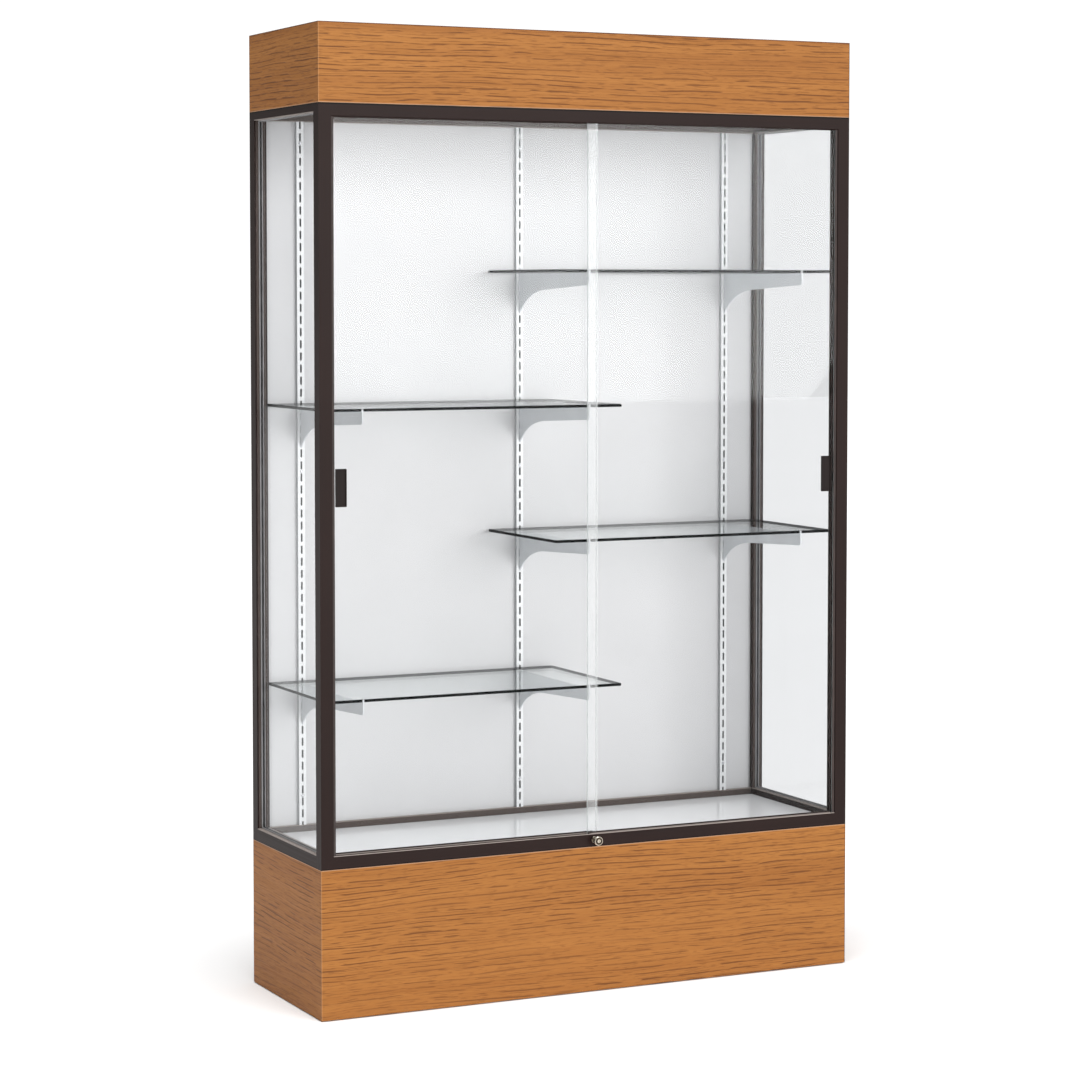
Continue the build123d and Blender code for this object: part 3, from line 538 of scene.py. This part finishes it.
OAK = oak_laminate()
BOARD = raw_board()
# one white laminate in two tones: the wall's copy is darkened as painted shade, the deck's
# lightened as painted light
WHITE_WALL = white_laminate(
    "white_laminate_wall", srgb(208, 208, 209), srgb(214, 214, 215), 0.45, 0.60, STANDARD_XS
)
WHITE_DECK = white_laminate(
    "white_laminate_deck", srgb(244, 244, 245), srgb(248, 248, 249), 0.10, 0.20, ()
)
BRONZE = {
    along: bronze_aluminium(f"bronze_along_{along}", along, srgb(31, 20, 18), srgb(39, 26, 23))
    for along in "xyz"
}
PULL_BRONZE = bronze_aluminium("pull_bronze", "z", srgb(27, 20, 19), srgb(34, 26, 24))
NICKEL = brushed_metal("nickel_plate", srgb(104, 98, 88), srgb(148, 141, 129), "z", 0.20)
LOCK_HEAD = lock_head_nickel()
PLUG_STEEL = brushed_metal("lock_plug_steel", srgb(150, 142, 128), srgb(196, 188, 172), "z", 0.25)
ZINC = brushed_metal("zinc_steel", srgb(160, 162, 166), srgb(196, 198, 202), "z", 0.32)
# the standards' faces behind their front face take painted shade
STANDARD_SHADE_START = STANDARD_FACE + STANDARD_TOLERANCE
WHITE_ENAMEL = enamel("white_enamel", srgb(228, 229, 230), srgb(236, 237, 238), 0.30, STANDARD_SHADE_START)
PAST_THE_CASE = 1.0
GREY_ENAMEL = enamel("grey_enamel", srgb(200, 203, 206), srgb(210, 213, 216), 0.28, PAST_THE_CASE)
GREY_VINYL = vinyl("grey_vinyl", srgb(138, 137, 138), srgb(156, 155, 156))
CUSHION = vinyl("clear_cushion", srgb(200, 204, 206), srgb(214, 218, 220))
DARK_VINYL = vinyl("dark_vinyl", srgb(40, 29, 26), srgb(58, 44, 40))
NYLON = vinyl("white_nylon", srgb(216, 212, 202), srgb(230, 227, 220))
SHELF_GLASS = clear_glass(
    "shelf_glass",
    faces="z",
    tint=(0.955, 0.965, 0.965, 1.0),
    right_tint=None,
    edge_colour=srgb(4, 8, 8),
    edge_alpha=1.0,
    edge_gloss=0.02,
)
END_GLASS = clear_glass(
    "end_glass",
    faces="x",
    tint=(0.956, 0.958, 0.961, 1.0),
    # the right end pane's darker tint is painted shade
    right_tint=(0.838, 0.842, 0.848, 1.0),
    edge_colour=srgb(120, 150, 145),
    edge_alpha=0.7,
    edge_gloss=0.3,
)
DOOR_GLASS = clear_glass(
    "door_glass",
    faces="y",
    tint=(0.984, 0.985, 0.986, 1.0),
    right_tint=None,
    edge_colour=srgb(226, 234, 233),
    edge_alpha=0.6,
    edge_gloss=0.3,
)

NODE_MATERIALS = {
    "base_top_panel": BOARD,
    "header_top_panel": BOARD,
    "corner_blocks": BOARD,
    "ceiling_panel": WHITE_WALL,
    "back_panel": WHITE_WALL,
    "deck_panel": WHITE_DECK,
    "corner_plates": ZINC,
    "frame_screws": ZINC,
    "standard_screws": ZINC,
    "end_glass_panes": END_GLASS,
    "end_glass_gaskets": GREY_VINYL,
    "upper_door_track": DARK_VINYL,
    "door_jambs": DARK_VINYL,
    "lower_door_track": BRONZE["x"],
    "lock_housing": NICKEL,
    "lock_nut": ZINC,
    "lock_plunger": LOCK_HEAD,
    "lock_plug": PLUG_STEEL,
    "shelf_standards": WHITE_ENAMEL,
    "shelf_brackets": GREY_ENAMEL,
    "bracket_cushions": CUSHION,
}


def material_of(name):
    """The material of one CAD node, by its own name or its group's."""
    if name in NODE_MATERIALS:
        return NODE_MATERIALS[name]
    if name.startswith(("base_", "header_")):
        return OAK
    if name.startswith("post_"):
        return BRONZE["z"]
    if "_rail_" in name:
        return BRONZE["x" if name.endswith(("front", "back")) else "y"]
    if name.startswith("leveller"):
        return ZINC
    if name.endswith("_shelf_glass"):
        return SHELF_GLASS
    if name.endswith("_door_glass"):
        return DOOR_GLASS
    if name.endswith("_roller_shoe"):
        return BRONZE["x"]
    if name.endswith("_pull"):
        return PULL_BRONZE
    return NYLON


for name, piece in nodes.items():
    piece.data.materials.clear()
    piece.data.materials.append(material_of(name))


# ================================================================ painted highlight strip between the doors
# thickness, rounding of its edges, and gap above and below, in metres
STRIP_T = 0.0006
STRIP_EDGE = 0.00025
STRIP_CLEAR = 0.0004


def door_overlap_highlight():
    """A thin pale strip of painted highlight on the back of the right door, as wide as the doors'
    overlap.
    """
    left_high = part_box("left_door_glass")[1].x
    right_low, right_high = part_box("right_door_glass")
    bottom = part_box("right_door_roller_shoe")[1].z + STRIP_CLEAR
    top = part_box("upper_door_track")[0].z - STRIP_CLEAR
    low_x, high_x = right_low.x, left_high
    near_y, far_y = right_high.y, right_high.y + STRIP_T
    outline = [
        (low_x, near_y),
        (high_x, near_y),
        (high_x, far_y - STRIP_EDGE),
        (high_x - STRIP_EDGE, far_y),
        (low_x + STRIP_EDGE, far_y),
        (low_x, far_y - STRIP_EDGE),
    ]
    shape = bmesh.new()
    lower = [shape.verts.new((x, y, bottom)) for x, y in outline]
    upper = [shape.verts.new((x, y, top)) for x, y in outline]
    shape.faces.new(lower)
    shape.faces.new(upper)
    for n in range(len(outline)):
        after = (n + 1) % len(outline)
        shape.faces.new((lower[n], lower[after], upper[after], upper[n]))
    bmesh.ops.recalc_face_normals(shape, faces=shape.faces)
    mesh = bpy.data.meshes.new("door_overlap_highlight")
    shape.to_mesh(mesh)
    shape.free()
    mesh.materials.append(overlap_highlight_film())
    strip = bpy.data.objects.new("door_overlap_highlight", mesh)
    bpy.context.scene.collection.objects.link(strip)
    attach(strip, "right_door")


door_overlap_highlight()


# ================================================================ floor, light and camera
def pale_floor():
    """A plain pale floor that reaches past the camera's view."""
    floor_mesh = bpy.data.meshes.new("studio_floor")
    shape = bmesh.new()
    bmesh.ops.create_grid(shape, x_segments=8, y_segments=8, size=FLOOR_SIZE / 2)
    shape.to_mesh(floor_mesh)
    shape.free()
    floor = bpy.data.objects.new("studio_floor", floor_mesh)
    bpy.context.scene.collection.objects.link(floor)
    s = Shader("studio_floor")
    tone = s.noise((0.8, 0.8, 0.8))
    s.surface(Base_Color=s.blend(tone, srgb(240, 240, 240), srgb(243, 243, 243)), Roughness=0.9)
    floor_mesh.materials.append(s.material)


def white_world():
    """White all round, brighter where it is seen than where it lights the case."""
    world = bpy.data.worlds.new("studio_world")
    bpy.context.scene.world = world
    world.use_nodes = True
    tree = world.node_tree
    tree.nodes.clear()
    path = tree.nodes.new("ShaderNodeLightPath")
    mix = tree.nodes.new("ShaderNodeMixShader")
    out = tree.nodes.new("ShaderNodeOutputWorld")
    tree.links.new(path.outputs["Is Camera Ray"], mix.inputs[0])
    for socket, strength in ((mix.inputs[1], WORLD_LIGHT), (mix.inputs[2], WORLD_SEEN)):
        background = tree.nodes.new("ShaderNodeBackground")
        background.inputs["Strength"].default_value = strength
        background.inputs["Color"].default_value = WHITE
        tree.links.new(background.outputs[0], socket)
    tree.links.new(mix.outputs[0], out.inputs[0])


def soft_lamps():
    """Two wide lamps: one from the front, low on the right, and one from above."""
    lamps = (
        ("key", KEY_FROM, KEY_STRENGTH, KEY_ANGLE),
        ("top", TOP_FROM, TOP_STRENGTH, TOP_ANGLE),
    )
    for name, source, strength, angle in lamps:
        data = bpy.data.lights.new(f"studio_{name}", "SUN")
        data.energy = strength
        data.angle = angle
        lamp = bpy.data.objects.new(f"studio_{name}", data)
        lamp.rotation_mode = "QUATERNION"
        lamp.rotation_quaternion = source.to_track_quat("Z", "Y")
        bpy.context.scene.collection.objects.link(lamp)


def camera():
    """The photograph's view."""
    data = bpy.data.cameras.new("camera")
    data.lens = CAMERA_LENS_MM
    data.sensor_width = CAMERA_SENSOR_MM
    data.shift_y = CAMERA_SHIFT_Y
    data.clip_end = CAMERA_REACH
    view = bpy.data.objects.new("camera", data)
    view.location = CAMERA_PLACE
    view.rotation_euler = (math.pi / 2 + CAMERA_PITCH, 0.0, -CAMERA_YAW)
    bpy.context.scene.collection.objects.link(view)
    bpy.context.scene.camera = view


pale_floor()
white_world()
soft_lamps()
camera()
bpy.context.scene.view_settings.view_transform = "Standard"
bpy.context.scene.cycles.transparent_max_bounces = CLEAR_LAYERS
